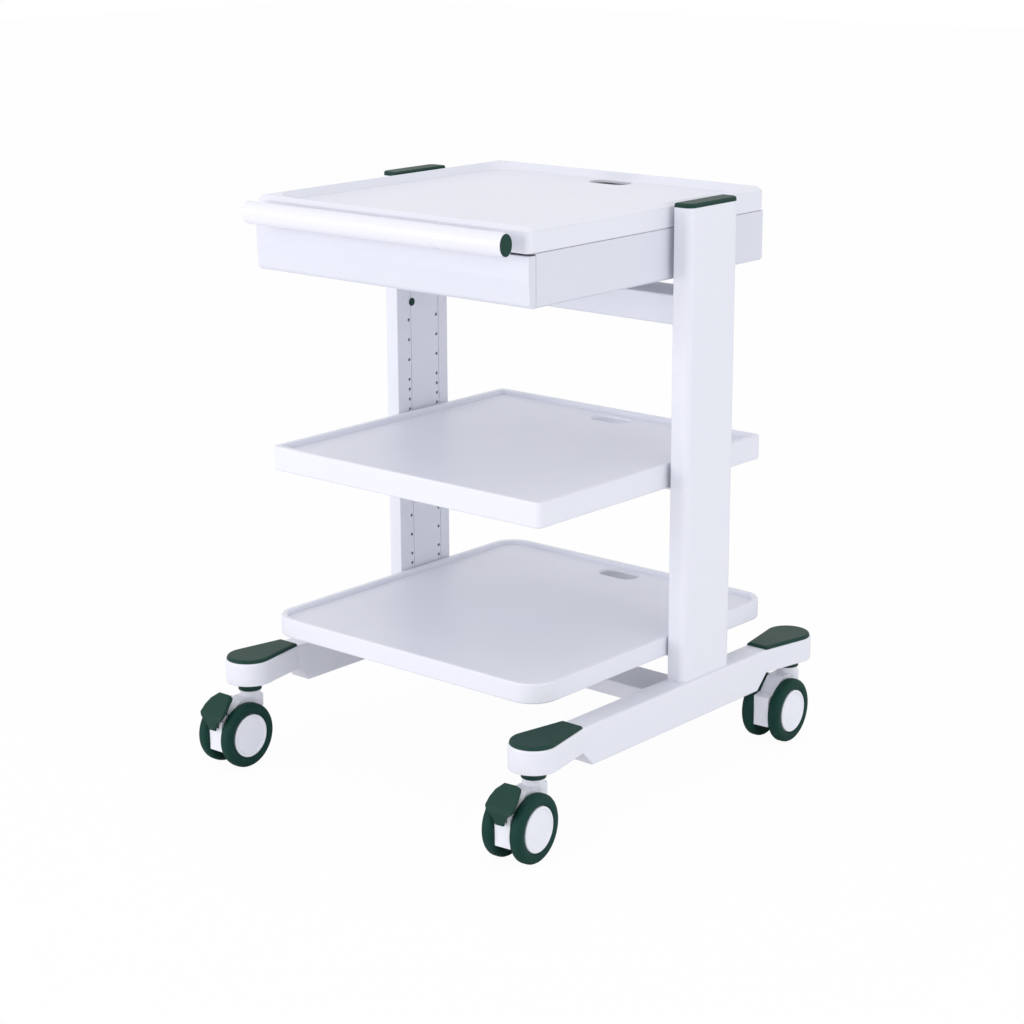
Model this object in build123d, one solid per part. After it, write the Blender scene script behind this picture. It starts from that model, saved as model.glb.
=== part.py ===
from build123d import *
import os
from math import acos, atan, atan2, cos, degrees, hypot, radians, sin

# Instrument cart: two columns on two castered feet carry a middle shelf, a lower shelf
# and a worktop over a drawer.
# Frame: millimetres, +X to the user's right, -Y towards the user, +Z up.
# The origin is on the floor, under the middle of the whole cart.

# ---- driving dimensions -------------------------------------------------
COLUMN_X = 284.0          # centre of each column, foot and caster stem
COLUMN_Y = 100.0          # columns stand behind the middle of the shelves
COLUMN_DEPTH = 117.0
COLUMN_THICK = 30.0
COLUMN_TOP = 863.0
COLUMN_WALL = 2.5
HOLE_PITCH = 32.0         # shelf holes, in two rows on each column's inner face
HOLE_R = 2.5
HOLE_TOP = 634.0

FOOT_Y = 25.4             # middle of each foot
FOOT_TOP = 161.0
FOOT_NOSE_BOTTOM = 125.0
FOOT_BOTTOM = 100.0
FOOT_WIDTH = 40.0
NOSE_R = 36.0
STEM_PITCH = 620.0        # front stem to rear stem
NECK_END = 86.0           # from the nose centre to the end of its cap
CHAMFER = 25.0
COLUMN_INNER = COLUMN_X - COLUMN_THICK / 2
FOOT_INNER = COLUMN_X - FOOT_WIDTH / 2

UPPER_BAR = {"y0": 62.0, "y1": 138.0, "z0": 690.0, "z1": 734.0}
LOWER_BAR = {"y0": 60.0, "y1": 140.0, "z0": 103.0, "z1": 128.0}
BAR_WALL = 2.0
BAR_REACH = 8.0           # crossbar screws into the column or foot
SCREW_R = 3.0

SHELF_CORNER_SOFT = 42.0
SHELF_CORNER_TIGHT = 9.0
RIM = 10.0
SKIRT = 4.0
FLOOR_THICK = 4.0
SLOT_LENGTH, SLOT_WIDTH, SLOT_FROM_BACK = 72.0, 38.0, 33.0

MIDDLE = {"half": 261.0, "front": -244.5, "back": 283.0, "bottom": 452.0, "top": 489.5,
          "lip": 8.0, "corner": SHELF_CORNER_TIGHT}
LOWER = {"half": 265.0, "front": -256.0, "back": 308.0, "bottom": 197.0, "top": 227.0,
         "lip": 7.0, "corner": SHELF_CORNER_SOFT}
WORKTOP = {"half": 259.5, "front": -263.5, "back": 278.0, "bottom": 832.0, "top": 862.0,
           "lip": 6.0, "corner": 10.0}
CREST_UP, CREST_IN = 6.0, 8.0      # the worktop's rim rises to a crest inside its outer edge
WELL_IN, WELL_FLARE = 16.0, 6.0    # and falls to a recessed floor
WELL_CORNER = 52.0

BOX_HALF = 259.5          # drawer housing
BOX_BACK = 278.0
BOX_BOTTOM = 758.0
BOX_TOP = 832.0
BOX_WALL = 1.5
FRONT_THICK = 14.0        # drawer front panel
FRONT_GAP = 0.5
FRONT_TOP = 829.5         # passes under the handle as the drawer opens
FRONT_ROLL = 8.0          # rounded lower edge
DRAWER_BACK = 190.0
DUCT_FRONT = 204.0        # cable duct behind the drawer
DRAWER_HALF = 240.0
DRAWER_BOTTOM = 770.0
DRAWER_TOP = 818.0
DRAWER_WALL = 1.5

RAIL_Z = 794.0
RAIL_FRONT = -244.0
RAIL_LENGTH = 420.0
RAIL_SHEET = 1.6

HANDLE_Y = -292.5
HANDLE_Z = 847.0
HANDLE_DEEP = 13.0        # half its depth: the handle is an oval tube
HANDLE_HIGH = 16.5        # half its height
HANDLE_HALF = 244.0
HANDLE_WALL = 2.0
PLUG_LID, PLUG_INSET = 1.2, 1.2    # the end plugs' lids stand just proud of the tube
HANDLE_MOUNTS = (-205.0, 0.0, 205.0)

WHEEL_R = 50.0
WHEEL_WIDTH = 20.0
TRAIL = 33.0
TREAD_R = 6.0
HUB_R = 33.5
AXLE_R = 4.0
STEM_R = 6.0
RUNNING = 0.05            # radial clearance of a turning fit
HOUSING_HALF = 13.0       # caster housing between its two wheels
HOUSING_WALL = 3.5
WHEEL_GAP = 0.5
COLLAR_R = 18.0
BARREL_R = 16.0
HEAD_TOP = 110.5

CASTERS = {               # name: (side, end, turn of the caster about its stem)
    "front_left": (-1, -1, 1.5),
    "front_right": (1, -1, 5.5),
    "rear_left": (-1, 1, -5.5),
    "rear_right": (1, 1, 3.5),
}
BRAKED = ("front_left", "front_right")

os.makedirs("parts", exist_ok=True)


# ---- small shapes -------------------------------------------------------
def block(x0, x1, y0, y1, z0, z1):
    """A box between two corners."""
    return Pos((x0 + x1) / 2, (y0 + y1) / 2, (z0 + z1) / 2) * Box(x1 - x0, y1 - y0, z1 - z0)


def rod(x, y, z0, z1, r):
    """An upright cylinder."""
    return Pos(x, y, (z0 + z1) / 2) * Cylinder(r, z1 - z0)


def bar(x0, x1, y, z, r):
    """A cylinder along X."""
    return Pos((x0 + x1) / 2, y, z) * Rot(0, 90, 0) * Cylinder(r, x1 - x0)


def slab(x0, x1, y0, y1, z0, z1, corner):
    """A plate with rounded upright corners."""
    plan = RectangleRounded(x1 - x0, y1 - y0, corner)
    return extrude(Pos((x0 + x1) / 2, (y0 + y1) / 2, z0) * plan, z1 - z0)


def bar_holes(spec, inner, reach):
    """Bores for two screws at each end of a crossbar."""
    z = (spec["z0"] + spec["z1"]) / 2
    holes = []
    for y in (spec["y0"] + 18, spec["y1"] - 18):
        for side in (-1, 1):
            a, b = side * (inner - 6), side * (inner + reach)
            holes.append(bar(min(a, b), max(a, b), y, z, SCREW_R))
    return holes


def group(solids):
    """Separate solids in one node."""
    return Compound(children=list(solids))


def mirrored(shape):
    return mirror(shape, about=Plane.YZ)


def save(name, shape):
    shape.label = name
    export_step(shape, "parts/" + name + ".step")


def save_pair(name, shape):
    """The right-hand piece as drawn, and its mirror image on the left."""
    save(name + "_right", shape)
    save(name + "_left", mirrored(shape))


# ---- feet ---------------------------------------------------------------
def nose_outline(nose_r, half_width, reach):
    """Plan of a foot's nose about the stem: round in front, tapering back to the beam."""
    lean = atan2(reach, half_width) - acos(nose_r / hypot(half_width, reach))
    touch = (nose_r * cos(lean), nose_r * sin(lean))
    right = Line((half_width, reach), touch)
    nose = ThreePointArc(touch, (0, -nose_r), (-touch[0], touch[1]))
    left = Line((-touch[0], touch[1]), (-half_width, reach))
    back = Line((-half_width, reach), (half_width, reach))
    return make_face([right, nose, left, back])


def foot_nose(end):
    """One nose of the right foot, at its front (-1) or rear (+1) end."""
    plan = nose_outline(NOSE_R, FOOT_WIDTH / 2, NECK_END)
    solid = extrude(plan, FOOT_TOP - FOOT_NOSE_BOTTOM)
    turn = 0 if end < 0 else 180
    return Pos(COLUMN_X, FOOT_Y + end * STEM_PITCH / 2, FOOT_NOSE_BOTTOM) * Rot(0, 0, turn) * solid


def foot():
    """Right foot: a deep beam with a raised nose at each end, recessed for its caps."""
    half = STEM_PITCH / 2 - NECK_END + 3
    flat = half - CHAMFER
    side = Polyline(
        (FOOT_Y - half, FOOT_TOP), (FOOT_Y + half, FOOT_TOP), (FOOT_Y + half, FOOT_NOSE_BOTTOM),
        (FOOT_Y + flat, FOOT_BOTTOM), (FOOT_Y - flat, FOOT_BOTTOM), (FOOT_Y - half, FOOT_NOSE_BOTTOM),
        close=True)
    beam = extrude(Plane.YZ.offset(COLUMN_X - FOOT_WIDTH / 2) * make_face(side), FOOT_WIDTH)
    body = beam + foot_nose(-1) + foot_nose(1)
    rims = body.edges().filter_by(lambda e: abs(e.center().Z - FOOT_TOP) < 0.01)
    body = fillet(rims, 4.0)
    keels = body.edges().filter_by(lambda e: e.center().Z < FOOT_NOSE_BOTTOM - 0.1
                                   and abs(e.center().X - COLUMN_X) > 5)
    body = fillet(keels, 3.0)
    wall = 3.5
    for y0, y1 in ((FOOT_Y - flat + 8, 40.0), (160.0, FOOT_Y + flat - 8)):
        body -= block(COLUMN_X - FOOT_WIDTH / 2 + wall, COLUMN_X + FOOT_WIDTH / 2 - wall,
                      y0, y1, FOOT_BOTTOM - 1, FOOT_TOP - 8)
    for end in (-1, 1):
        y = FOOT_Y + end * STEM_PITCH / 2
        body -= cap_seat(end)
        body -= rod(COLUMN_X, y, FOOT_NOSE_BOTTOM - 1, FOOT_NOSE_BOTTOM + 24, STEM_R)
        body -= rod(COLUMN_X, y - end * CAP_SCREW_IN, FOOT_NOSE_BOTTOM - 1, FOOT_TOP, CAP_SCREW_R)
    for dy in COLUMN_BOLTS:
        body -= rod(COLUMN_X, COLUMN_Y + dy, FOOT_BOTTOM - 1, FOOT_TOP + 1, BOLT_R)
        body -= rod(COLUMN_X, COLUMN_Y + dy, FOOT_BOTTOM - 1, FOOT_BOTTOM + 9, 7.5)
    for hole in bar_holes(LOWER_BAR, FOOT_INNER, BAR_REACH):
        body -= hole
    return body


CAP_INSET = 2.0
CAP_DEPTH = 3.0
CAP_CROWN = 4.5
CAP_SCREW_IN = 62.0
CAP_SCREW_R = 2.0
COLUMN_BOLTS = (-16.0, 16.0)
BOLT_R = 4.0


def cap_plan(end, z):
    plan = nose_outline(NOSE_R - CAP_INSET, FOOT_WIDTH / 2 - CAP_INSET, NECK_END - 1)
    turn = 0 if end < 0 else 180
    return Pos(COLUMN_X, FOOT_Y + end * STEM_PITCH / 2, z) * Rot(0, 0, turn) * plan


def cap_seat(end):
    return extrude(cap_plan(end, FOOT_TOP - CAP_DEPTH), CAP_DEPTH + 1)


def foot_cap(end):
    """Dark inlay on a nose: sits in the seat and swells above the foot's top."""
    cap = extrude(cap_plan(end, FOOT_TOP - CAP_DEPTH), CAP_DEPTH + CAP_CROWN)
    top = cap.edges().filter_by(lambda e: e.center().Z > FOOT_TOP + CAP_CROWN - 0.1)
    cap = fillet(top, 4.0)
    y = FOOT_Y + end * (STEM_PITCH / 2 - CAP_SCREW_IN)
    return cap - rod(COLUMN_X, y, FOOT_TOP - CAP_DEPTH - 1, FOOT_TOP + 1, CAP_SCREW_R)


save_pair("foot", foot())
for end, place in ((-1, "front"), (1, "rear")):
    cap = foot_cap(end)
    save_pair("foot_cap_" + place, cap)


# ---- columns ------------------------------------------------------------
def column_plan():
    """Section of the right column: outer corners round, inner corners nearly sharp."""
    x0, x1 = COLUMN_X - COLUMN_THICK / 2, COLUMN_X + COLUMN_THICK / 2
    y0, y1 = COLUMN_Y - COLUMN_DEPTH / 2, COLUMN_Y + COLUMN_DEPTH / 2
    soft, tight = 12.0, 1.5
    face = make_face(Polyline((x0, y0), (x1, y0), (x1, y1), (x0, y1), close=True))
    outer = face.vertices().filter_by(lambda v: v.X > COLUMN_X)
    face = fillet(outer, soft)
    inner = face.vertices().filter_by(lambda v: v.X < COLUMN_X - 10)
    return fillet(inner, tight)


WEB_Y = 16.0
WEB_HALF = 6.0
ROW_Y = (-32.0, 32.0)
GROOVE_SHIFT = 4.5


def shelf_holes():
    """Heights of the shelf holes: full pitch, with half steps around each shelf."""
    full = [HOLE_TOP - HOLE_PITCH * step for step in range(14)]
    half = [HOLE_TOP - HOLE_PITCH * (step + 0.5) for step in (3, 4, 5, 12)]
    return full + half


def column():
    x_in = COLUMN_X - COLUMN_THICK / 2
    body = extrude(Pos(0, 0, FOOT_TOP) * column_plan(), COLUMN_TOP - FOOT_TOP)
    y0, y1 = COLUMN_Y - COLUMN_DEPTH / 2, COLUMN_Y + COLUMN_DEPTH / 2
    rooms = ((y0 + COLUMN_WALL, COLUMN_Y - WEB_Y - WEB_HALF),
             (COLUMN_Y - WEB_Y + WEB_HALF, COLUMN_Y + WEB_Y - WEB_HALF),
             (COLUMN_Y + WEB_Y + WEB_HALF, y1 - COLUMN_WALL))
    for a, b in rooms:
        body -= slab(x_in + COLUMN_WALL, x_in + COLUMN_THICK - COLUMN_WALL, a, b,
                     FOOT_TOP - 1, COLUMN_TOP + 1, 5.0)
    for dy in COLUMN_BOLTS:
        body -= rod(COLUMN_X, COLUMN_Y + dy, FOOT_TOP - 1, FOOT_TOP + 45, BOLT_R)
    for dy in ROW_Y:
        y = COLUMN_Y + dy
        body -= block(x_in - 1, x_in + 0.7, y + GROOVE_SHIFT - 0.6, y + GROOVE_SHIFT + 0.6,
                      FOOT_TOP - 1, COLUMN_TOP + 1)
        for z in shelf_holes():
            body -= bar(x_in - 1, x_in + COLUMN_WALL + 1, y, z, HOLE_R)
    body -= bar(x_in - 1, x_in + COLUMN_WALL + 1, COLUMN_Y - 25.0, 662.0, 5.0)
    for hole in bar_holes(UPPER_BAR, COLUMN_INNER, BAR_REACH):
        body -= hole
    return body


def column_cap():
    """Dark lid with a plug that drops into the middle of the column."""
    lid = extrude(Pos(0, 0, COLUMN_TOP) * column_plan(), 6.5)
    top = lid.edges().filter_by(lambda e: e.center().Z > COLUMN_TOP + 6.4)
    lid = fillet(top, 3.0)
    plug = slab(COLUMN_X - 9, COLUMN_X + 9, COLUMN_Y - 52, COLUMN_Y - 26, COLUMN_TOP - 10,
                COLUMN_TOP, 3.0)
    return lid + plug + Pos(0, 78, 0) * plug


save_pair("column", column())
save_pair("column_cap", column_cap())


# ---- crossbars ----------------------------------------------------------


def tube_bar(half, y0, y1, z0, z1, corner):
    """Rectangular tube along X with end plates."""
    plan = RectangleRounded(y1 - y0, z1 - z0, corner)
    body = extrude(Plane.YZ.offset(-half) * Pos((y0 + y1) / 2, (z0 + z1) / 2) * plan, 2 * half)
    hollow = block(-half + 6, half - 6, y0 + BAR_WALL, y1 - BAR_WALL, z0 + BAR_WALL, z1 - BAR_WALL)
    return body - hollow




def bar_screws(spec, inner, reach):
    """The screws, with their heads inside the crossbar's hollow."""
    heads = []
    z = (spec["z0"] + spec["z1"]) / 2
    for y in (spec["y0"] + 18, spec["y1"] - 18):
        for side in (-1, 1):
            a, b = side * (inner - 10), side * (inner - 6)
            heads.append(bar(min(a, b), max(a, b), y, z, 5.0))
    return [head + shank for head, shank in zip(heads, bar_holes(spec, inner, reach))]


def crossbar(spec, inner):
    body = tube_bar(inner, spec["y0"], spec["y1"], spec["z0"], spec["z1"], 3.0)
    for hole in bar_holes(spec, inner, 0):
        body -= hole
    return body


save("upper_crossbar", crossbar(UPPER_BAR, COLUMN_INNER))
save("foot_crossbar", crossbar(LOWER_BAR, FOOT_INNER))


def hex_bolt(x, y, z_head, z_end, r):
    """Screw with a round head at the bottom and a hexagon socket in it."""
    head = rod(x, y, z_head, z_head + 7, 6.5)
    socket = extrude(Pos(x, y, z_head) * RegularPolygon(3.0, 6), 4)
    return head + rod(x, y, z_head + 7, z_end, r) - socket


def cap_screw(side, end):
    y = FOOT_Y + end * (STEM_PITCH / 2 - CAP_SCREW_IN)
    head = rod(side * COLUMN_X, y, FOOT_NOSE_BOTTOM - 3, FOOT_NOSE_BOTTOM, 5.0)
    return head + rod(side * COLUMN_X, y, FOOT_NOSE_BOTTOM, FOOT_TOP, CAP_SCREW_R)


bolts = [hex_bolt(side * COLUMN_X, COLUMN_Y + dy, FOOT_BOTTOM + 2, FOOT_TOP + 40, BOLT_R)
         for side in (-1, 1) for dy in COLUMN_BOLTS]
bolts += [cap_screw(side, end) for side in (-1, 1) for end in (-1, 1)]
bolts += bar_screws(UPPER_BAR, COLUMN_INNER, BAR_REACH)
bolts += bar_screws(LOWER_BAR, FOOT_INNER, BAR_REACH)
save("frame_bolts", group(bolts))


# ---- shelves ------------------------------------------------------------
BLOCK_Y = (48.0, 152.0)
BLOCK_IN = 34.0


def cable_slot(shelf):
    """Rounded hole for cables at the middle of a shelf's back edge."""
    plan = RectangleRounded(SLOT_LENGTH, SLOT_WIDTH, SLOT_WIDTH / 2 - 0.5)
    return Pos(0, shelf["back"] - SLOT_FROM_BACK - SLOT_WIDTH / 2 + 12, 0) * plan


def shelf_tray(shelf, pads=None):
    """A tray with a raised rim above and a skirt below, and pads where it is screwed on."""
    half, y0, y1, corner = shelf["half"], shelf["front"], shelf["back"], shelf["corner"]
    bottom, top = shelf["bottom"], shelf["top"]
    floor = top - shelf["lip"]
    body = slab(-half, half, y0, y1, bottom, top, corner)
    body -= slab(-half + RIM, half - RIM, y0 + RIM, y1 - RIM, floor, top + 1, max(corner - RIM, 4))
    rims = body.edges().filter_by(lambda e: abs(e.center().Z - top) < 0.01)
    body = fillet(rims, 2.5)
    keel = body.edges().filter_by(lambda e: abs(e.center().Z - bottom) < 0.01)
    body = fillet(keel, 3.0)
    under = slab(-half + SKIRT, half - SKIRT, y0 + SKIRT, y1 - SKIRT, bottom - 1,
                 floor - FLOOR_THICK, max(corner - SKIRT, 3))
    if pads:
        for side in (-1, 1):
            x0, x1 = side * (half - SKIRT - BLOCK_IN), side * half
            under -= block(min(x0, x1), max(x0, x1), pads[0], pads[1], bottom - 2, top)
    body -= under
    return body - extrude(Pos(0, 0, bottom) * cable_slot(shelf), top - bottom)


BRACKET_SHEET = 3.0
SCREW_Y = (64.0, 136.0)
SCREW_IN = 22.0


def shelf_screw_holes(shelf, r, z0, z1):
    return [rod(side * (shelf["half"] - SCREW_IN), y, z0, z1, r) for side in (-1, 1) for y in SCREW_Y]


def shelf_bracket(shelf, pin_heights):
    """Right-hand angle bracket: pins in the column's holes, a ledge under the shelf."""
    x1 = COLUMN_INNER
    ledge_z = shelf["bottom"] - BRACKET_SHEET
    upright = block(x1 - BRACKET_SHEET, x1, 52, 148, ledge_z, shelf["top"] - 6)
    ledge = block(shelf["half"] - 34, x1, 52, 148, ledge_z, shelf["bottom"])
    body = upright + ledge
    for dy in ROW_Y:
        for z in pin_heights:
            body += bar(x1, x1 + 6, COLUMN_Y + dy, z, HOLE_R - 0.05)
    for y in SCREW_Y:
        body -= rod(shelf["half"] - SCREW_IN, y, ledge_z - 1, shelf["bottom"] + 1, SHELF_SCREW_R)
    return body


SHELF_SCREW_R = 2.5


def shelf_with_holes(shelf):
    body = shelf_tray(shelf, BLOCK_Y)
    for hole in shelf_screw_holes(shelf, SHELF_SCREW_R, shelf["bottom"] - 1, shelf["bottom"] + 14):
        body -= hole
    return body


save("middle_shelf", shelf_with_holes(MIDDLE))
save("lower_shelf", shelf_with_holes(LOWER))
for name, shelf, pins in (("middle", MIDDLE, (458.0, 474.0)), ("lower", LOWER, (218.0,))):
    right = shelf_bracket(shelf, pins)
    save(name + "_shelf_brackets", group([right, mirrored(right)]))


def pan_screw(x, y, z_seat, length, r):
    """Small screw driven upwards, head below z_seat."""
    head = rod(x, y, z_seat - 2.5, z_seat, 2 * r)
    return head + rod(x, y, z_seat, z_seat + length, r)


screws = []
for shelf in (MIDDLE, LOWER):
    seat = shelf["bottom"] - BRACKET_SHEET
    screws += [pan_screw(side * (shelf["half"] - SCREW_IN), y, seat, 15, SHELF_SCREW_R)
               for side in (-1, 1) for y in SCREW_Y]
save("shelf_screws", group(screws))


# ---- worktop, drawer housing and handle ----------------------------------
def housing():
    """Drawer housing: open in front, with a cable duct behind its back wall."""
    y0 = WORKTOP["front"] + FRONT_THICK + FRONT_GAP
    body = block(-BOX_HALF, BOX_HALF, y0, BOX_BACK, BOX_BOTTOM, BOX_TOP)
    upright = body.edges().filter_by(Axis.Z).filter_by(lambda e: e.center().Y > 0)
    keel = body.edges().filter_by(lambda e: abs(e.center().Z - BOX_BOTTOM) < 0.01 and e.center().Y > y0 + 1)
    body = fillet(upright + keel, 5.0)
    inner = BOX_HALF - BOX_WALL
    body -= block(-inner, inner, y0 - 1, DUCT_FRONT - BOX_WALL, BOX_BOTTOM + BOX_WALL, BOX_TOP - BOX_WALL)
    body -= block(-inner + 4, inner - 4, DUCT_FRONT, BOX_BACK - BOX_WALL,
                  BOX_BOTTOM + BOX_WALL, BOX_TOP - BOX_WALL)
    body -= extrude(Pos(0, 0, BOX_BOTTOM - 1) * cable_slot(WORKTOP), BOX_TOP - BOX_BOTTOM + 2)
    for x, y in TRAY_SCREWS:
        body -= rod(x, y, BOX_TOP - BOX_WALL - 1, BOX_TOP + 1, SHELF_SCREW_R)
    return body


TRAY_SCREWS = [(x, y) for x in (-180.0, 180.0) for y in (-190.0, 180.0)]


def worktop():
    """Worktop tray: a sloping band up to the rim's crest, a recessed floor, screw pads below."""
    half, y0, y1, corner = WORKTOP["half"], WORKTOP["front"], WORKTOP["back"], WORKTOP["corner"]
    bottom, edge = WORKTOP["bottom"], WORKTOP["top"]
    crest, floor = edge + CREST_UP, edge - WORKTOP["lip"]
    middle = Pos(0, (y0 + y1) / 2, 0)
    body = slab(-half, half, y0, y1, bottom, edge, corner)
    keel = body.edges().filter_by(lambda e: abs(e.center().Z - bottom) < 0.01)
    body = fillet(keel, 3.0)
    outline = RectangleRounded(2 * half, y1 - y0, corner)
    body += middle * Pos(0, 0, edge) * extrude(outline, CREST_UP, taper=degrees(atan(CREST_IN / CREST_UP)))
    depth = crest - floor
    well = RectangleRounded(2 * (half - WELL_IN), y1 - y0 - 2 * WELL_IN, WELL_CORNER)
    hollow = extrude(well, depth, taper=-degrees(atan(WELL_FLARE / depth)))
    body -= middle * Pos(0, 0, floor) * hollow
    ridge = body.edges().filter_by(lambda e: abs(e.center().Z - crest) < 0.01)
    body = fillet(ridge, 0.9)
    under = slab(-half + SKIRT, half - SKIRT, y0 + SKIRT, y1 - SKIRT, bottom - 1,
                 floor - FLOOR_THICK, max(corner - SKIRT, 3))
    body -= under
    body -= extrude(Pos(0, 0, bottom) * cable_slot(WORKTOP), crest - bottom + 1)
    for x, y in TRAY_SCREWS:
        pad = rod(x, y, bottom, floor - 2, 8)
        body = body + pad - rod(x, y, bottom - 1, bottom + 14, SHELF_SCREW_R)
    return body


save("drawer_housing", housing())
save("worktop_tray", worktop())
save("tray_screws", group([pan_screw(x, y, BOX_TOP - BOX_WALL, 15, SHELF_SCREW_R) for x, y in TRAY_SCREWS]))


def housing_bracket():
    """Right-hand spacer block that bolts the housing to the column."""
    plate = slab(62, 142, -30, 30, 0, COLUMN_INNER - BOX_HALF, 6)
    placed = Plane(origin=(BOX_HALF, 0, 795), x_dir=(0, 1, 0), z_dir=(1, 0, 0)) * plate
    return placed - bar(BOX_HALF - 1, COLUMN_INNER + 1, COLUMN_Y, 795, 4)


save("housing_brackets", group([housing_bracket(), mirrored(housing_bracket())]))

def oval(x0, x1, inset):
    """A length of the handle's oval section, drawn in by inset."""
    section = Ellipse(HANDLE_DEEP - inset, HANDLE_HIGH - inset)
    return extrude(Plane(origin=(x0, HANDLE_Y, HANDLE_Z), x_dir=(0, 1, 0), z_dir=(1, 0, 0)) * section, x1 - x0)


handle = oval(-HANDLE_HALF, HANDLE_HALF, 0) - oval(-HANDLE_HALF - 1, HANDLE_HALF + 1, HANDLE_WALL)
save("handle_tube", handle)


def handle_plug():
    """Domed plug in the right end of the handle tube."""
    lid = oval(HANDLE_HALF, HANDLE_HALF + PLUG_LID, PLUG_INSET)
    rim = lid.edges().filter_by(lambda e: e.center().X > HANDLE_HALF + PLUG_LID - 0.1)
    lid = fillet(rim, 0.7)
    return lid + oval(HANDLE_HALF - 14, HANDLE_HALF, HANDLE_WALL)


save("handle_plugs", group([handle_plug(), mirrored(handle_plug())]))


def handle_mount(x):
    """Saddle between the worktop's front wall and the back of the handle tube."""
    body = block(x - 11, x + 11, HANDLE_Y, WORKTOP["front"], HANDLE_Z - 9, HANDLE_Z + 9)
    return body - oval(x - 12, x + 12, 0)


save("handle_mounts", group([handle_mount(x) for x in HANDLE_MOUNTS]))


# ---- drawer and runners ---------------------------------------------------
def drawer_front():
    """Front panel: upright above, leaning back below a crease, round lower edge."""
    y0 = WORKTOP["front"]
    crease, lean = 796.0, 3.0
    side = Polyline(
        (y0, FRONT_TOP), (y0 + FRONT_THICK, FRONT_TOP), (y0 + FRONT_THICK, BOX_BOTTOM + 0.5),
        (y0 + lean, BOX_BOTTOM + 0.5), (y0, crease), close=True)
    body = extrude(Plane.YZ.offset(-BOX_HALF) * make_face(side), 2 * BOX_HALF)
    lower = body.edges().filter_by(Axis.X).filter_by(
        lambda e: e.center().Z < BOX_BOTTOM + 1 and e.center().Y < y0 + 5)
    body = fillet(lower, FRONT_ROLL)
    upper = body.edges().filter_by(Axis.X).filter_by(
        lambda e: e.center().Z > FRONT_TOP - 1 and e.center().Y < y0 + 1)
    body = fillet(upper, 1.5)
    pan = block(-BOX_HALF + 2, BOX_HALF - 2, y0 + 6, y0 + FRONT_THICK - 2, BOX_BOTTOM + 6, FRONT_TOP - 3)
    return body - pan


def drawer_tray():
    """Open sheet tray behind the front panel."""
    y0 = WORKTOP["front"] + FRONT_THICK
    body = block(-DRAWER_HALF, DRAWER_HALF, y0, DRAWER_BACK, DRAWER_BOTTOM, DRAWER_TOP)
    w = DRAWER_WALL
    body -= block(-DRAWER_HALF + w, DRAWER_HALF - w, y0 + w, DRAWER_BACK - w,
                  DRAWER_BOTTOM + w, DRAWER_TOP + 1)
    return body


save("drawer_front", drawer_front())
save("drawer_tray", drawer_tray())


def channel(x_web, x_open, height, sheet):
    """Right-hand C rail along Y, its web at x_web and its flanges reaching to x_open."""
    y0, y1 = RAIL_FRONT, RAIL_FRONT + RAIL_LENGTH
    z0, z1 = RAIL_Z - height / 2, RAIL_Z + height / 2
    body = block(x_open, x_web, y0, y1, z0, z1)
    return body - block(x_open - 1, x_web - sheet, y0 - 1, y1 + 1, z0 + sheet, z1 - sheet)


def save_rails(name, right):
    save(name, group([right, mirrored(right)]))


OUTER_WEB = BOX_HALF - BOX_WALL
MIDDLE_WEB = OUTER_WEB - RAIL_SHEET - 0.6
INNER_WEB = MIDDLE_WEB - RAIL_SHEET - 0.6
save_rails("runner_outers", channel(OUTER_WEB, OUTER_WEB - 11.5, 36.0, RAIL_SHEET))
save_rails("runner_middles", channel(MIDDLE_WEB, MIDDLE_WEB - 10.0, 31.6, RAIL_SHEET))
save_rails("runner_inners", block(DRAWER_HALF, INNER_WEB, RAIL_FRONT, RAIL_FRONT + RAIL_LENGTH,
                                  RAIL_Z - 13.5, RAIL_Z + 13.5))


# ---- casters ------------------------------------------------------------
# Each caster is drawn at its stem, rolling towards +Y, and then turned and placed.
def caster_place(name):
    side, end, turn = CASTERS[name]
    return Pos(side * COLUMN_X, FOOT_Y + end * STEM_PITCH / 2, 0) * Rot(0, 0, turn)


def caster_head(braked):
    """Shell between the wheels, hollow from below, with the swivel barrel at its rear top."""
    side = make_face(Polyline(
        (-75, 30), (-75.8, 78.3), (-67.7, 79.4), (-56.9, 81.4), (-51.7, 86.6), (-43.8, 94.4),
        (-38.5, 99.6), (-33.2, 102.3), (-14, 102), (14.5, 102), (14.5, 84), (9, 72), (8, 46), (0, 30),
        close=True))
    side = fillet(side.vertices().filter_by(lambda v: v.X < -70 or v.Y < 31), 2.0)
    shell = extrude(Plane.YZ.offset(-HOUSING_HALF) * side, 2 * HOUSING_HALF)
    room = make_face(Polyline((-71.5, 29), (-71.5, 74.5), (-54, 77), (-40, 84), (-12, 78), (4, 66), (3, 29),
                              close=True))
    cheek = HOUSING_HALF - HOUSING_WALL
    shell -= extrude(Plane.YZ.offset(-cheek) * room, 2 * cheek)
    body = shell + rod(0, 0, 96, HEAD_TOP, BARREL_R)
    body += rod(0, 0, 80, 97, STEM_R + 5)
    body -= rod(0, 0, 79, HEAD_TOP + 1, STEM_R + RUNNING)
    body -= bar(-HOUSING_HALF - 1, HOUSING_HALF + 1, -TRAIL, WHEEL_R, AXLE_R)
    if braked:
        slot = PEDAL_RIB + 0.6
        body -= block(-slot, slot, -90, PEDAL_Y + 9, PEDAL_Z - 12, 100)
        for x0, x1 in ((-HOUSING_HALF, -slot), (slot, HOUSING_HALF)):
            body += bar(x0, x1, PEDAL_Y, PEDAL_Z, 6.0)
        body -= bar(-HOUSING_HALF - 1, HOUSING_HALF + 1, PEDAL_Y, PEDAL_Z, PEDAL_PIN_R + RUNNING)
    return body


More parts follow.
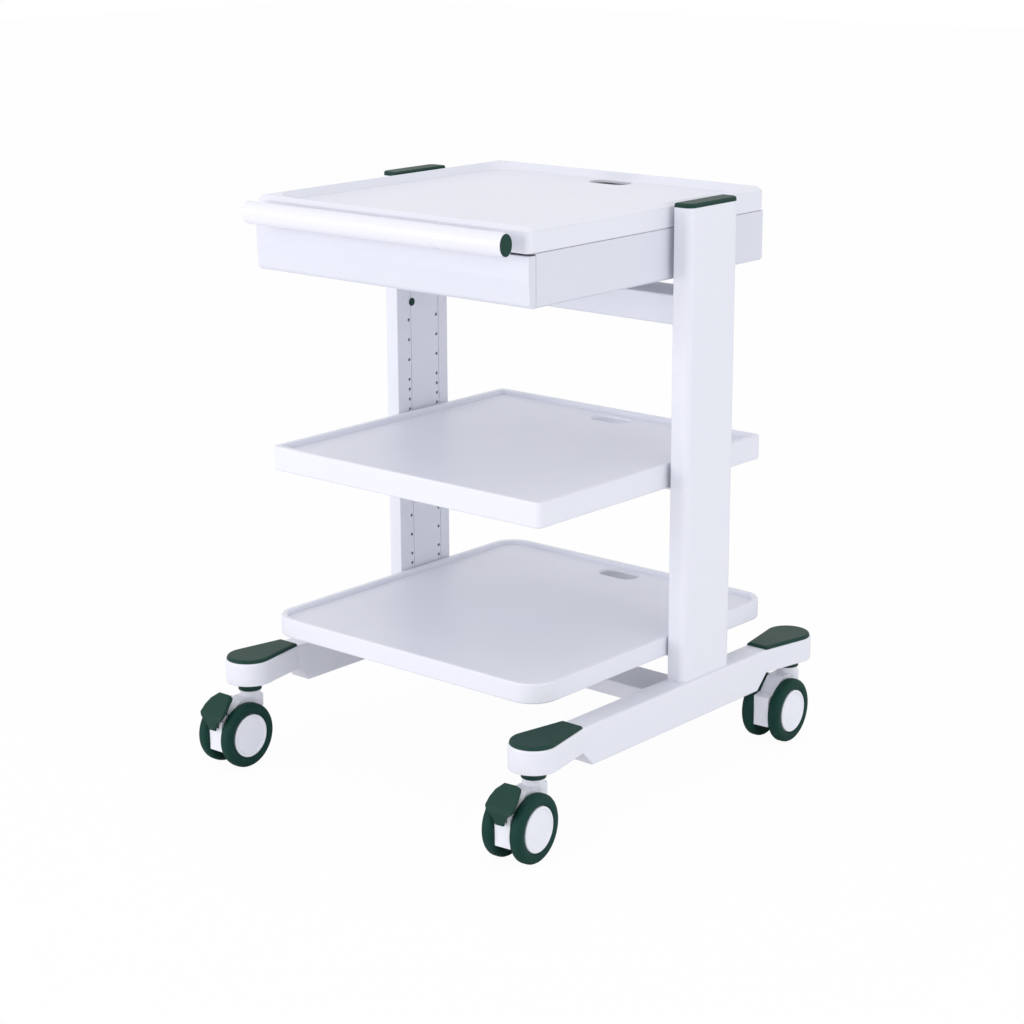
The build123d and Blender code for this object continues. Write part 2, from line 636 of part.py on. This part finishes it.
PEDAL_LEAN = radians(45)
PEDAL_PIVOT = 43.0        # pedal pin from the axle
PEDAL_Y = -TRAIL - PEDAL_PIVOT * cos(PEDAL_LEAN)
PEDAL_Z = WHEEL_R + PEDAL_PIVOT * sin(PEDAL_LEAN)
PEDAL_PIN_R = 2.0
PEDAL_RIB = 7.5
PEDAL_HALF = 23.0


def brake_pedal():
    """Spade-shaped pedal standing off the wheels: a plate, a rib down to its pin, a tongue."""
    section = make_face(Polyline(
        (-55, 117), (-66, 109.5), (-76, 100.5), (-84, 91.5), (-85.5, 84), (-84.5, 75), (-83, 66),
        (-80, 66), (-80.5, 74), (-81, 82), (-79.5, 88), (-72.5, 96.5), (-62.5, 105), (-52, 112.5),
        close=True))
    plate = extrude(Plane.YZ.offset(-PEDAL_HALF) * section, 2 * PEDAL_HALF)
    outline = make_face(Polyline(
        (-8, 119), (8, 119), (18, 110), (21.5, 102), (PEDAL_HALF, 92), (21, 86.5), (13, 80), (8, 72),
        (6.5, 65), (-6.5, 65), (-8, 72), (-13, 80), (-21, 86.5), (-PEDAL_HALF, 92), (-21.5, 102),
        (-18, 110), close=True))
    outline = fillet(outline.vertices(), 2.0)
    plate = plate & extrude(Plane.XZ.offset(20) * outline, 80)
    rib = Plane.YZ.offset(-PEDAL_RIB) * make_face(Polyline(
        (PEDAL_Y + 5, PEDAL_Z - 3), (PEDAL_Y - 3, PEDAL_Z - 4), (-82, 75), (-82.5, 84), (-74, 97),
        (-61, 107), (-55, 103), (PEDAL_Y + 6, PEDAL_Z + 5), close=True))
    pin = bar(-HOUSING_HALF, HOUSING_HALF, PEDAL_Y, PEDAL_Z, PEDAL_PIN_R)
    return plate + extrude(rib, 2 * PEDAL_RIB) + pin


def tyre(side):
    """Tyre of the wheel on one side of the housing."""
    inner = side * (HOUSING_HALF + WHEEL_GAP)
    outer = inner + side * WHEEL_WIDTH
    body = bar(min(inner, outer), max(inner, outer), -TRAIL, WHEEL_R, WHEEL_R)
    edges = body.edges().filter_by(GeomType.CIRCLE)
    body = fillet(edges, TREAD_R)
    return body - bar(min(inner, outer) - 1, max(inner, outer) + 1, -TRAIL, WHEEL_R, HUB_R)


def hub(side):
    """Hub with a blind bore for the axle and a slightly domed outer face."""
    inner = side * (HOUSING_HALF + WHEEL_GAP)
    outer = inner + side * (WHEEL_WIDTH + 0.5)
    body = bar(min(inner, outer), max(inner, outer), -TRAIL, WHEEL_R, HUB_R)
    face = body.edges().filter_by(GeomType.CIRCLE).filter_by(lambda e: abs(e.center().X - outer) < 0.1)
    body = fillet(face, 2.0)
    end = side * (AXLE_HALF + 0.5)
    return body - bar(min(inner - side, end), max(inner - side, end), -TRAIL, WHEEL_R, AXLE_R + RUNNING)


AXLE_HALF = 29.0
stems, collars = [], []
for name in CASTERS:
    place = caster_place(name)
    braked = name in BRAKED
    save("caster_head_" + name, place * caster_head(braked))
    save("axle_" + name, place * bar(-AXLE_HALF, AXLE_HALF, -TRAIL, WHEEL_R, AXLE_R))
    for side, hand in ((-1, "l"), (1, "r")):
        save("tyre_" + name + "_" + hand, place * tyre(side))
        save("hub_" + name + "_" + hand, place * hub(side))
    if braked:
        save("brake_pedal_" + name, place * brake_pedal())
    stems.append(place * rod(0, 0, 84, FOOT_NOSE_BOTTOM + 24, STEM_R))
    collar = rod(0, 0, HEAD_TOP + 0.5, 122, COLLAR_R) + rod(0, 0, 122, FOOT_NOSE_BOTTOM, 14)
    collars.append(place * (collar - rod(0, 0, HEAD_TOP, FOOT_NOSE_BOTTOM + 1, STEM_R)))
save("caster_stems", group(stems))
save("stem_collars", group(collars))
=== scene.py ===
import math
import bmesh
import bpy
from mathutils import Matrix, Vector


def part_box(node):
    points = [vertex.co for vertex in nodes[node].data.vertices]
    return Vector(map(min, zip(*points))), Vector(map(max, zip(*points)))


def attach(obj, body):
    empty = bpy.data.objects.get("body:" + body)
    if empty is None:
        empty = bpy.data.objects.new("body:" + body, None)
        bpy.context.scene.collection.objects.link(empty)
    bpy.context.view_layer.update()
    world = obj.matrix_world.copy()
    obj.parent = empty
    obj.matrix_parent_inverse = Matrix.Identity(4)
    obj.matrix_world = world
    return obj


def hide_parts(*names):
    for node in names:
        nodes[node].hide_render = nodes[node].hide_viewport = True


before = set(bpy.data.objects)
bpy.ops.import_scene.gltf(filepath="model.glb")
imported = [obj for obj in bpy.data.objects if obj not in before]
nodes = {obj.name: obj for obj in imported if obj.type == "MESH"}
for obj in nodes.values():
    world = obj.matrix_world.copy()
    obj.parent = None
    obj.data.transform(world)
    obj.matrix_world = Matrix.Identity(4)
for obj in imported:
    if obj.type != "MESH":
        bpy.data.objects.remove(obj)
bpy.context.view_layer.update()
bpy.ops.object.select_all(action="DESELECT")

# ---- Viewpoint ----
# The cart is seen from its front right, a little above the worktop, with a long lens.
view_place = (2.2691, -2.6454, 1.3333)
view_turn, view_tilt, view_roll = math.radians(40.59), math.radians(15.29), math.radians(-0.21)
bpy.ops.object.camera_add(location=view_place)
camera = bpy.context.object
away = Vector((math.sin(view_turn) * math.cos(view_tilt), -math.cos(view_turn) * math.cos(view_tilt),
               math.sin(view_tilt)))
level = Vector((math.cos(view_turn), math.sin(view_turn), 0))
rise = away.cross(level)
across = level * math.cos(view_roll) + rise * math.sin(view_roll)
upright = rise * math.cos(view_roll) - level * math.sin(view_roll)
camera.rotation_euler = Matrix((across, upright, away)).transposed().to_euler()
camera.data.lens = 83.73
camera.data.sensor_width = 36.0
camera.data.clip_end = 50
bpy.context.scene.camera = camera

# ---- Studio ----
# A white room: a wide soft lamp in front, a weaker one on the right, a faint one overhead,
# and a white floor that keeps a faint shadow of the cart.
scene = bpy.context.scene
scene.view_settings.view_transform = "Standard"
lamp_size = 2.6
cart_middle = (0, 0, 0.4)
room_strength = 0.83
floor_glow = 0.96      # the share of white light added to what the camera sees of the floor


def lamp(name, place, watts, colour):
    """A square area lamp that points at the middle of the cart."""
    bpy.ops.object.light_add(type="AREA", location=place)
    light = bpy.context.object
    light.name = name
    light.data.shape = "SQUARE"
    light.data.size = lamp_size
    light.data.energy = watts
    light.data.color = colour
    light.rotation_euler = (Vector(cart_middle) - Vector(place)).to_track_quat("-Z", "Y").to_euler()


lamp("front_lamp", (-1.5, -3.8, 1.1), 62, (1.0, 0.985, 1.0))
lamp("right_lamp", (3.6, -0.4, 1.1), 26, (0.97, 0.985, 1.0))
lamp("top_lamp", (0.0, -0.3, 3.4), 12, (1.0, 0.99, 1.0))

world = bpy.data.worlds.new("white_room")
scene.world = world
world.use_nodes = True
tree = world.node_tree
tree.nodes.clear()
path = tree.nodes.new("ShaderNodeLightPath")
either = tree.nodes.new("ShaderNodeMath")
either.operation = "MAXIMUM"
seen = tree.nodes.new("ShaderNodeMath")
seen.operation = "MAXIMUM"
room = tree.nodes.new("ShaderNodeBackground")
room.inputs["Color"].default_value = (0.93, 0.935, 0.97, 1)
room.inputs["Strength"].default_value = room_strength
white = tree.nodes.new("ShaderNodeBackground")
white.inputs["Color"].default_value = (1, 1, 1, 1)
blend = tree.nodes.new("ShaderNodeMixShader")
world_out = tree.nodes.new("ShaderNodeOutputWorld")
tree.links.new(path.outputs["Is Camera Ray"], either.inputs[0])
tree.links.new(path.outputs["Is Transmission Ray"], either.inputs[1])
tree.links.new(either.outputs[0], seen.inputs[0])
tree.links.new(path.outputs["Is Glossy Ray"], seen.inputs[1])
tree.links.new(seen.outputs[0], blend.inputs[0])
tree.links.new(room.outputs[0], blend.inputs[1])
tree.links.new(white.outputs[0], blend.inputs[2])
tree.links.new(blend.outputs[0], world_out.inputs["Surface"])

bpy.ops.mesh.primitive_plane_add(size=30, location=(0, 0, 0))
floor = bpy.context.object
floor.name = "studio_floor"
floor_paint = bpy.data.materials.new("studio_floor_white")
floor_paint.use_nodes = True
tree = floor_paint.node_tree
tree.nodes.clear()
matt = tree.nodes.new("ShaderNodeBsdfDiffuse")
matt.inputs["Color"].default_value = (0.9, 0.9, 0.9, 1)
glow = tree.nodes.new("ShaderNodeEmission")
glow.inputs["Color"].default_value = (1, 1, 1, 1)
path = tree.nodes.new("ShaderNodeLightPath")
share = tree.nodes.new("ShaderNodeMath")
share.operation = "MULTIPLY"
share.inputs[1].default_value = floor_glow
blend = tree.nodes.new("ShaderNodeMixShader")
floor_out = tree.nodes.new("ShaderNodeOutputMaterial")
tree.links.new(path.outputs["Is Camera Ray"], share.inputs[0])
tree.links.new(share.outputs[0], blend.inputs[0])
tree.links.new(matt.outputs[0], blend.inputs[1])
tree.links.new(glow.outputs[0], blend.inputs[2])
tree.links.new(blend.outputs[0], floor_out.inputs["Surface"])
floor.data.materials.append(floor_paint)
bpy.ops.object.select_all(action="DESELECT")

# ---- Columns, feet and crossbars ----
# Aluminium profiles and steel tube under one white powder coat: a fine orange peel,
# a little uneven in tone and gloss, that rounds every sharp edge slightly.


def node_group(name, takes, gives):
    """An empty group with its sockets, and its two ends."""
    group = bpy.data.node_groups.new(name, "ShaderNodeTree")
    for label, kind, value in takes:
        socket = group.interface.new_socket(label, in_out="INPUT", socket_type="NodeSocket" + kind)
        socket.default_value = value
    for label, kind in gives:
        group.interface.new_socket(label, in_out="OUTPUT", socket_type="NodeSocket" + kind)
    return group, group.nodes.new("NodeGroupInput"), group.nodes.new("NodeGroupOutput")


def cloudy(group, scale, detail, low, high):
    """Noise on the piece's own coordinates, stretched between two values."""
    place = group.nodes.new("ShaderNodeTexCoord")
    noise = group.nodes.new("ShaderNodeTexNoise")
    noise.inputs["Detail"].default_value = detail
    spread = group.nodes.new("ShaderNodeMapRange")
    spread.interpolation_type = "SMOOTHSTEP"
    spread.inputs["From Min"].default_value = 0.2
    spread.inputs["From Max"].default_value = 0.8
    spread.inputs["To Min"].default_value = low
    spread.inputs["To Max"].default_value = high
    group.links.new(place.outputs["Object"], noise.inputs["Vector"])
    group.links.new(noise.outputs["Fac"], spread.inputs["Value"])
    if isinstance(scale, (int, float)):
        noise.inputs["Scale"].default_value = scale
    else:
        group.links.new(scale, noise.inputs["Scale"])
    return spread.outputs["Result"]


# What the painted and moulded finishes share: a slow drift of tone and gloss, a fine peel
# in height, and edges eased by a small radius.
coat, coat_in, coat_out = node_group(
    "paint_skin",
    (("Colour", "Color", (0.8, 0.8, 0.85, 1)), ("Shade", "Color", (0.7, 0.7, 0.75, 1)),
     ("Gloss", "Float", 0.36), ("Peel", "Float", 380.0), ("Edge", "Float", 0.0012)),
    (("Colour", "Color"), ("Roughness", "Float"), ("Height", "Float"), ("Normal", "Vector")))
tone = cloudy(coat, 4.0, 1.0, 0.0, 0.5)
mix = coat.nodes.new("ShaderNodeMix")
mix.data_type = "RGBA"
coat.links.new(tone, mix.inputs["Factor"])
coat.links.new(coat_in.outputs["Colour"], mix.inputs[6])
coat.links.new(coat_in.outputs["Shade"], mix.inputs[7])
coat.links.new(mix.outputs[2], coat_out.inputs["Colour"])
uneven = cloudy(coat, 9.0, 1.0, -0.03, 0.03)
dull = coat.nodes.new("ShaderNodeMath")
dull.operation = "ADD"
coat.links.new(coat_in.outputs["Gloss"], dull.inputs[0])
coat.links.new(uneven, dull.inputs[1])
coat.links.new(dull.outputs[0], coat_out.inputs["Roughness"])
coat.links.new(cloudy(coat, coat_in.outputs["Peel"], 2.0, 0.0, 1.0), coat_out.inputs["Height"])
eased = coat.nodes.new("ShaderNodeBevel")
eased.samples = 4
coat.links.new(coat_in.outputs["Edge"], eased.inputs["Radius"])
coat.links.new(eased.outputs["Normal"], coat_out.inputs["Normal"])


peel_height = 0.0004


def coated(name, colour, shade, gloss, peel, depth, edge=0.0012, shine=0.5):
    """A painted or moulded finish built on the skin group."""
    made = bpy.data.materials.new(name)
    made.use_nodes = True
    tree = made.node_tree
    shader = tree.nodes["Principled BSDF"]
    layer = tree.nodes.new("ShaderNodeGroup")
    layer.node_tree = coat
    layer.inputs["Colour"].default_value = colour
    layer.inputs["Shade"].default_value = shade
    layer.inputs["Gloss"].default_value = gloss
    layer.inputs["Peel"].default_value = peel
    layer.inputs["Edge"].default_value = edge
    bump = tree.nodes.new("ShaderNodeBump")
    bump.inputs["Strength"].default_value = depth
    bump.inputs["Distance"].default_value = peel_height
    shader.inputs["Specular IOR Level"].default_value = shine
    tree.links.new(layer.outputs["Colour"], shader.inputs["Base Color"])
    tree.links.new(layer.outputs["Roughness"], shader.inputs["Roughness"])
    tree.links.new(layer.outputs["Height"], bump.inputs["Height"])
    tree.links.new(layer.outputs["Normal"], bump.inputs["Normal"])
    tree.links.new(bump.outputs["Normal"], shader.inputs["Normal"])
    return made


def dress(material, *names):
    """Gives CAD nodes their finish."""
    for name in names:
        for place in nodes[name].material_slots:
            place.link = "OBJECT"
            place.material = material


frame_paint = coated("frame_powder_coat", (0.80, 0.81, 0.872, 1), (0.785, 0.795, 0.86, 1),
                     0.36, 380.0, 0.02)
dress(frame_paint, "column_left", "column_right", "foot_left", "foot_right", "foot_crossbar",
      "upper_crossbar")

# ---- Shelves and worktop ----
# Three trays moulded in white plastic, each with a raised rim and a recessed floor: satin
# all over, and a little duller than the frame's paint.
shelf_plastic = coated("shelf_moulding", (0.79, 0.80, 0.862, 1), (0.77, 0.782, 0.845, 1), 0.40, 300.0, 0.02)
dress(shelf_plastic, "middle_shelf", "lower_shelf", "worktop_tray")

# ---- Drawer housing and drawer ----
# Folded steel sheet under white stove enamel, smoother than the frame's powder coat. Its white
# is the frame's set about an eighth darker: painted shade for the shaded sides of the housing.
drawer_paint_with_painted_shade = coated("drawer_enamel_painted_shade", (0.715, 0.728, 0.80, 1), (0.70, 0.712, 0.785, 1), 0.34, 380.0, 0.012)
dress(drawer_paint_with_painted_shade, "drawer_housing", "drawer_front", "drawer_tray")

# ---- Pull bar ----
# An oval steel tube in white enamel, screwed to saddles behind it: the glossiest of the
# painted parts. Its curve is round already, so its edges aren't eased.
bar_enamel = coated("bar_enamel", (0.80, 0.80, 0.865, 1), (0.785, 0.785, 0.85, 1), 0.30, 380.0, 0.012, 0.0)
dress(bar_enamel, "handle_tube", "handle_mounts")

# ---- Dark mouldings: caps, plugs, collars and pedals ----
# Injection-moulded plastic, green-black, with a fine spark-eroded grain that leaves
# little shine.
dark_plastic = coated("dark_moulding", (0.009, 0.042, 0.031, 1), (0.016, 0.056, 0.043, 1),
                      0.48, 600.0, 0.08, shine=0.16)
dress(dark_plastic, "column_cap_left", "column_cap_right", "foot_cap_front_left", "foot_cap_front_right",
      "foot_cap_rear_left", "foot_cap_rear_right", "handle_plugs", "stem_collars",
      "brake_pedal_front_left", "brake_pedal_front_right")

# ---- Column grommets ----
# A dark moulded plug snapped into the large upper hole of each column's inner face: a thin
# domed flange outside, and a stub that fills the hole.
grommet_y, grommet_z = 0.075, 0.662
stub_radius, stub_length, stub_proud = 0.0048, 0.004, 0.0002
flange_spread, flange_thick = 1.3, 0.0006
dome_edge, dome_rise, dome_taper = 0.0008, 0.0004, 0.8
smooth_below = math.radians(32)      # edges sharper than this stay crisp
for side, inward in (("left", 1), ("right", -1)):
    column_low, column_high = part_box("column_" + side)
    inner = column_high[0] if inward > 0 else column_low[0]
    middle = (inner, grommet_y, grommet_z)
    bpy.ops.mesh.primitive_cylinder_add(
        vertices=40, radius=stub_radius, depth=stub_length,
        location=(inner + inward * (stub_proud - stub_length / 2), grommet_y, grommet_z),
        rotation=(0, inward * math.pi / 2, 0))
    plug = bpy.context.object
    plug.name = "column_grommet_" + side
    bpy.ops.object.transform_apply(location=True, rotation=True)
    bpy.ops.object.mode_set(mode="EDIT")
    bpy.ops.mesh.select_mode(type="FACE")
    bpy.ops.mesh.select_all(action="DESELECT")
    shape = bmesh.from_edit_mesh(plug.data)
    for face in shape.faces:
        face.select = face.normal.x * inward > 0.9
    bmesh.update_edit_mesh(plug.data)
    bpy.ops.mesh.extrude_region_move(TRANSFORM_OT_translate={"value": (inward * stub_proud, 0, 0)})
    bpy.ops.transform.resize(value=(1, flange_spread, flange_spread), center_override=middle)
    bpy.ops.mesh.extrude_region_move(TRANSFORM_OT_translate={"value": (inward * flange_thick, 0, 0)})
    bpy.ops.mesh.inset(thickness=dome_edge)
    bpy.ops.mesh.extrude_region_move(TRANSFORM_OT_translate={"value": (inward * dome_rise, 0, 0)})
    bpy.ops.transform.resize(value=(1, dome_taper, dome_taper), center_override=middle)
    bpy.ops.object.mode_set(mode="OBJECT")
    bpy.ops.object.shade_smooth_by_angle(angle=smooth_below)
    plug.data.materials.append(dark_plastic)
    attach(plug, "frame")
    bpy.ops.object.select_all(action="DESELECT")

# ---- Brackets, runners, screws, stems and axles ----
# Zinc-plated steel, satin and slightly mottled. The plate is too thin to round an edge or
# to show a grain of its own.
zinc = bpy.data.materials.new("zinc_plate")
zinc.use_nodes = True
tree = zinc.node_tree
shader = tree.nodes["Principled BSDF"]
shader.inputs["Metallic"].default_value = 1.0
layer = tree.nodes.new("ShaderNodeGroup")
layer.node_tree = coat
layer.inputs["Colour"].default_value = (0.62, 0.63, 0.65, 1)
layer.inputs["Shade"].default_value = (0.45, 0.46, 0.48, 1)
layer.inputs["Gloss"].default_value = 0.36
tree.links.new(layer.outputs["Colour"], shader.inputs["Base Color"])
tree.links.new(layer.outputs["Roughness"], shader.inputs["Roughness"])
dress(zinc, "middle_shelf_brackets", "lower_shelf_brackets", "housing_brackets", "frame_bolts",
      "shelf_screws", "tray_screws", "runner_outers", "runner_middles", "runner_inners", "caster_stems")

# ---- Caster shells ----
# One hollow white moulding for each caster: its barrel turns under the foot, and it
# reaches forward between the two wheels and carries their axle.
ends = ("front_left", "front_right", "rear_left", "rear_right")
caster_plastic = coated("caster_moulding", (0.86, 0.87, 0.93, 1), (0.82, 0.83, 0.89, 1), 0.30, 420.0, 0.02)
for end in ends:
    dress(caster_plastic, "caster_head_" + end)
    dress(zinc, "axle_" + end)

# ---- Tyres ----
# Solid dark rubber-like tread moulded round each hub, with a flat running face, rounded
# shoulders and an outer wall that turns in against the hub's rim.


def turned(name, outline):
    """A lathe-made piece about the X axis, drawn from (along, radius) points, closed in a ring."""
    along, radius = outline[0]
    bpy.ops.mesh.primitive_circle_add(vertices=3, radius=0.001, location=(along, 0, radius))
    made = bpy.context.object
    made.name = name
    bpy.ops.object.transform_apply(location=True)
    bpy.ops.object.mode_set(mode="EDIT")
    bpy.ops.mesh.select_mode(type="VERT")
    bpy.ops.mesh.select_all(action="SELECT")
    bpy.ops.mesh.merge(type="CENTER")
    ring = outline[1:] + outline[:1]
    for (a0, r0), (a1, r1) in zip(outline, ring):
        bpy.ops.mesh.extrude_vertices_move(TRANSFORM_OT_translate={"value": (a1 - a0, 0, r1 - r0)})
    bpy.ops.mesh.select_all(action="SELECT")
    bpy.ops.mesh.spin(steps=96, angle=2 * math.pi, center=(0, 0, 0), axis=(1, 0, 0))
    bpy.ops.mesh.select_all(action="SELECT")
    bpy.ops.mesh.remove_doubles(threshold=0.00002)
    bpy.ops.mesh.normals_make_consistent(inside=False)
    bpy.ops.object.mode_set(mode="OBJECT")
    bpy.ops.object.shade_smooth_by_angle(angle=smooth_below)
    return made


def millimetres(*points):
    return [(a / 1000, b / 1000) for a, b in points]


def fit_wheel(pattern, name, end, hand, material, body):
    """Copies a right-hand wheel piece onto its axle, turned round for the left-hand one."""
    low, high = (Vector(corner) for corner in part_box("hub_" + end + "_" + hand))
    other = "l" if hand == "r" else "r"
    far_low, far_high = (Vector(corner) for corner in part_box("hub_" + end + "_" + other))
    here, there = (low + high) / 2, (far_low + far_high) / 2
    bpy.ops.object.select_all(action="DESELECT")
    pattern.select_set(True)
    bpy.context.view_layer.objects.active = pattern
    bpy.ops.object.duplicate()
    copy = bpy.context.object
    copy.name = name
    copy.location = (here + there) / 2
    copy.rotation_euler = (0, 0, math.atan2(here.y - there.y, here.x - there.x))
    bpy.ops.object.transform_apply(location=True, rotation=True)
    copy.data.materials.clear()
    copy.data.materials.append(material)
    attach(copy, body)
    bpy.ops.object.select_all(action="DESELECT")
    return copy


tyre_rubber = coated("tyre_rubber", (0.004, 0.036, 0.026, 1), (0.010, 0.050, 0.040, 1),
                     0.58, 600.0, 0.10, shine=0.14)
tyre_outline = millimetres(
    (13.7, 33.7), (13.6, 36.0), (13.6, 43.0), (14.0, 45.0), (15.0, 46.9), (16.5, 48.5), (18.5, 49.6),
    (20.5, 50.0), (26.5, 50.0), (28.5, 49.6), (30.4, 48.5), (31.8, 46.9), (32.7, 45.0), (33.0, 43.0),
    (33.1, 40.5), (33.0, 38.2), (32.6, 36.2), (32.0, 35.2), (31.2, 34.6), (31.0, 33.7))
tyre_pattern = turned("tyre_pattern", tyre_outline)
for end in ends:
    for hand in ("l", "r"):
        tyre = fit_wheel(tyre_pattern, "tread_" + end + "_" + hand, end, hand, tyre_rubber,
                         "wheel_" + end + "_" + hand)
        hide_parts("tyre_" + end + "_" + hand)
bpy.data.objects.remove(tyre_pattern)

# ---- Hubs ----
# White moulded discs inside the tyres: a rolled rim, an almost flat face, and a boss on
# the inner side with a blind bore that runs on the axle.
hub_outline = millimetres(
    (29.6, 0.0), (29.6, 4.1), (13.6, 4.1), (13.6, 9.0), (14.4, 10.0), (17.0, 11.0), (17.0, 29.5),
    (14.2, 30.5), (13.8, 33.2),
    (31.4, 33.3), (32.6, 33.1), (33.4, 32.3), (33.7, 31.2), (33.5, 30.0), (32.7, 29.0), (31.6, 28.2),
    (31.2, 27.0), (31.3, 22.0), (31.5, 14.0), (31.6, 6.0), (31.6, 0.0))
hub_pattern = turned("hub_pattern", hub_outline)
for end in ends:
    for hand in ("l", "r"):
        hub = fit_wheel(hub_pattern, "disc_" + end + "_" + hand, end, hand, caster_plastic,
                        "wheel_" + end + "_" + hand)
        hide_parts("hub_" + end + "_" + hand)
bpy.data.objects.remove(hub_pattern)
